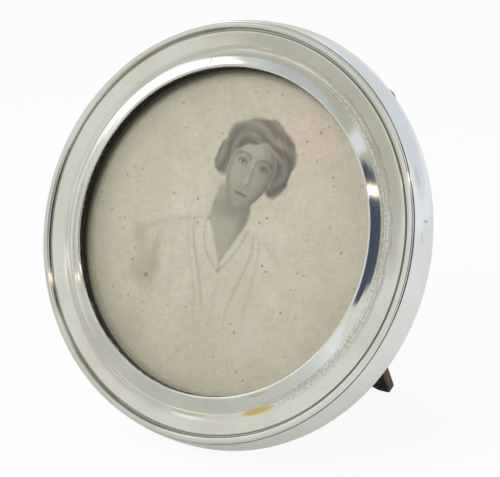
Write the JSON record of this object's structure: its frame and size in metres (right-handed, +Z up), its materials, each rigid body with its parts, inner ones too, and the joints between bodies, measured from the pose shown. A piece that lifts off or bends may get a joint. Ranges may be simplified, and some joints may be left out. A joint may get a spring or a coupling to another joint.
{
  "type": "round photo frame",
  "caption": "Round moulded silver photo frame with a glazed portrait print, leaning back on a hinged wooden strut behind; turn buttons hold the back in.",
  "frame": {"origin": "on the table, under the middle of the whole object's box", "axes": "+X to the viewer's right, the front faces -Y and leans back by 21.1 degrees, +Z up"},
  "size_m": [0.1658, 0.0947, 0.1556],
  "materials": {
    "silver": "polished silver, lightly tarnished, fine scratches",
    "core_wood": "bare turned wood",
    "stained_wood": "dark stained, worn wax",
    "clear_glass": "clear, polished",
    "print_paper": "matt cream paper with a printed portrait",
    "card": "rough grey-brown card",
    "grained_cloth": "dark pebble-grained book cloth",
    "brass": "aged, dull",
    "steel": "dull"
  },
  "bodies": {
    "frame": {"silver_mount": "silver", "frame_core": "core_wood", "mount_pins": "steel", "glass_disc": "clear_glass", "photo_print": "print_paper", "backing_card": "card", "packing_card": "card", "back_board": "stained_wood", "back_cloth": "grained_cloth", "turn_button_washers": "brass", "turn_button_screws": "brass", "hinge_board_leaf": "brass", "hinge_board_screws": "brass", "hinge_pin": "steel"},
    "strut": {"strut_board": "stained_wood", "strut_cloth": "grained_cloth", "hinge_strut_leaf": "brass", "hinge_strut_screws": "brass"},
    "button_upper_right": {"turn_button_upper_right": "brass"},
    "button_upper_left": {"turn_button_upper_left": "brass"},
    "button_lower_left": {"turn_button_lower_left": "brass"},
    "button_lower_right": {"turn_button_lower_right": "brass"}
  },
  "joints": [
    {"name": "strut_hinge", "type": "hinge", "parent": "frame", "child": "strut", "pos_m": [0, 0.01478, 0.1223], "axis": [1, 0, 0], "range_deg": [-34.1, 0]},
    {"name": "upper_right_button_turn", "type": "hinge", "parent": "frame", "child": "button_upper_right", "pos_m": [0.05043, 0.01336, 0.12583], "axis": [0, -0.933, 0.36], "continuous": true},
    {"name": "upper_left_button_turn", "type": "hinge", "parent": "frame", "child": "button_upper_left", "pos_m": [-0.05278, 0.01252, 0.12365], "axis": [0, -0.933, 0.36], "continuous": true},
    {"name": "lower_left_button_turn", "type": "hinge", "parent": "frame", "child": "button_lower_left", "pos_m": [-0.05043, -0.02464, 0.02735], "axis": [0, -0.933, 0.36], "continuous": true},
    {"name": "lower_right_button_turn", "type": "hinge", "parent": "frame", "child": "button_lower_right", "pos_m": [0.05278, -0.0238, 0.02954], "axis": [0, -0.933, 0.36], "continuous": true}
  ]
}
